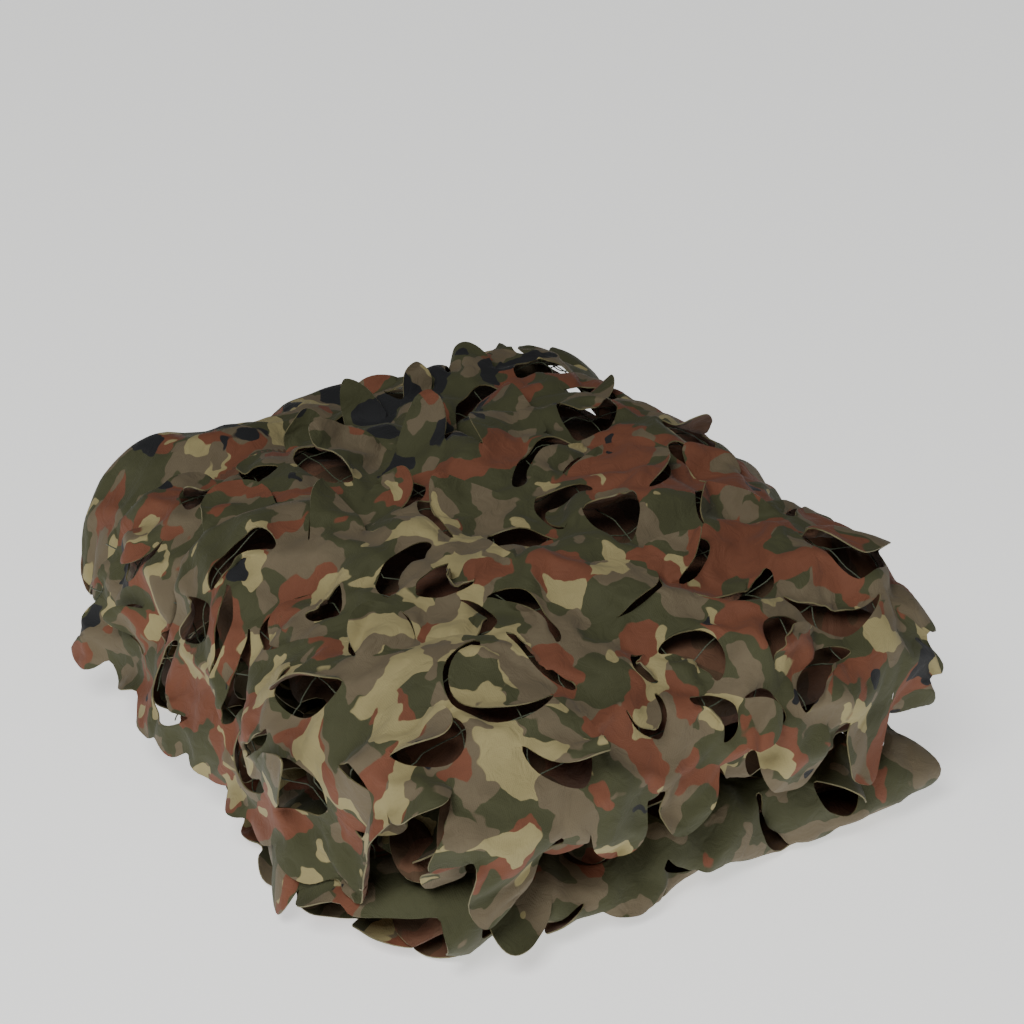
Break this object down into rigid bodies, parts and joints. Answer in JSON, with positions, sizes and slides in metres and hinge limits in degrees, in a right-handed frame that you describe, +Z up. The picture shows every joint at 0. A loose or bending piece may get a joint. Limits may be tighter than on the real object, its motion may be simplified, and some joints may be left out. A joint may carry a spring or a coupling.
{
  "type": "folded camouflage net",
  "caption": "Leaf-cut camouflage net folded into a rounded pack: printed cloth with curled tongues over a mesh of thin cords, the round front folds and the layers showing.",
  "frame": {"origin": "on the floor under the middle of the box that holds the pack", "axes": "+Z up, +X to the right along the front folds, +Y towards the back"},
  "size_m": [0.5838, 0.6998, 0.2837],
  "materials": {
    "cloth": "thin woven polyester, matt, printed in camouflage blotches of olive, taupe, rust, sand and blue-black",
    "cord": "thin twisted polyester cord, pale green"
  },
  "bodies": {
    "root": {"leaf_cloth": "cloth", "cord_mesh": "cord"}
  },
  "joints": []
}
